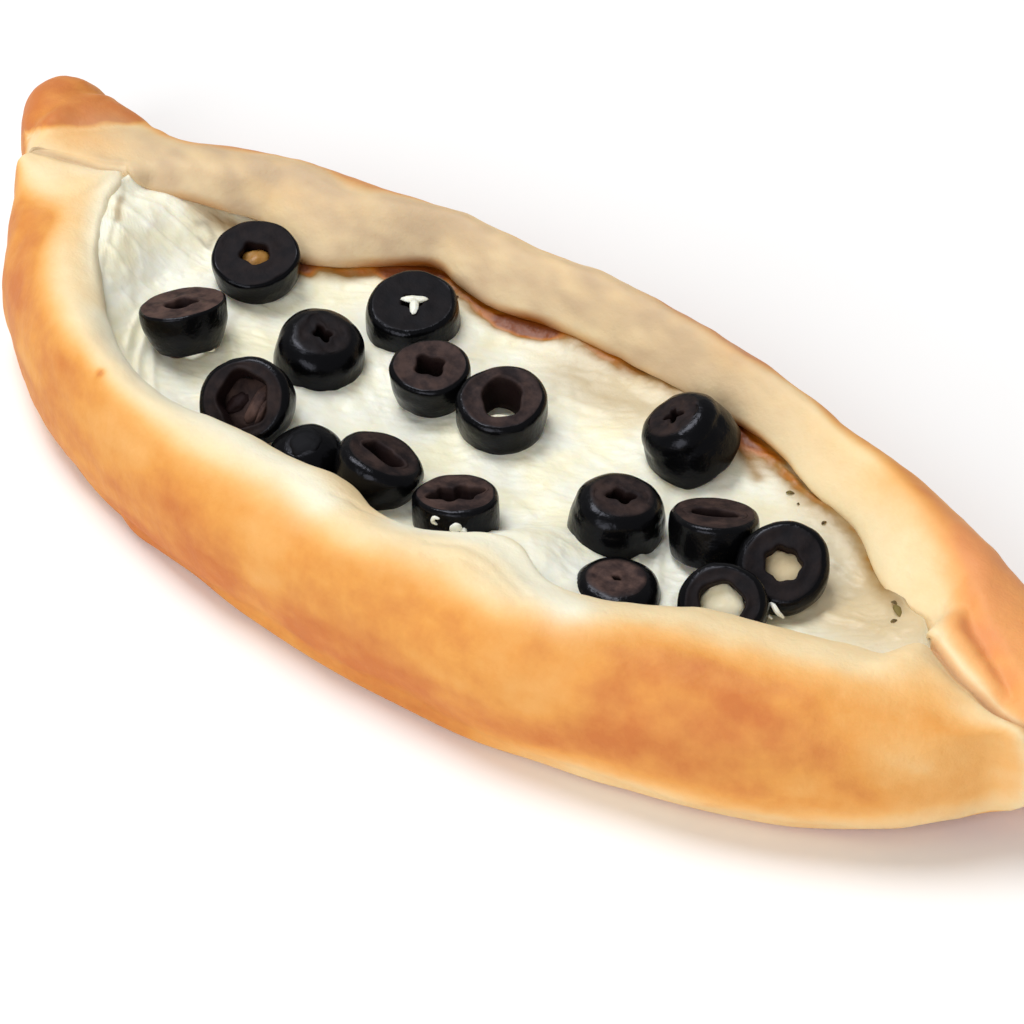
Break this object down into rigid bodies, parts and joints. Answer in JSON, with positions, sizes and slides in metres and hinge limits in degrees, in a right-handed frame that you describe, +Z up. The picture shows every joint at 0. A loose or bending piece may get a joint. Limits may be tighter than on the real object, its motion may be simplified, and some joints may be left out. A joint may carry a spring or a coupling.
{
  "type": "turkish pide",
  "caption": "Boat-shaped baked flatbread with rolled walls and pinched ends, filled with melted white cheese and topped with black olive slices.",
  "frame": {"origin": "on the table, under the middle of the part's bounding box", "axes": "+X along the boat to the end with the plain pinched tip, +Y to the thinner wall with the wide folded lip, +Z up"},
  "size_m": [0.274, 0.1033, 0.0307],
  "materials": {
    "crust": "matte",
    "cheese": "satin",
    "olive": "gloss"
  },
  "bodies": {
    "root": {"dough_boat": "crust", "cheese_filling": "cheese", "olive_01": "olive", "olive_02": "olive", "olive_03": "olive", "olive_04": "olive", "olive_05": "olive", "olive_06": "olive", "olive_07": "olive", "olive_08": "olive", "olive_09": "olive", "olive_10": "olive", "olive_11": "olive", "olive_12": "olive", "olive_13": "olive", "olive_14": "olive", "olive_15": "olive", "olive_16": "olive"}
  },
  "joints": []
}
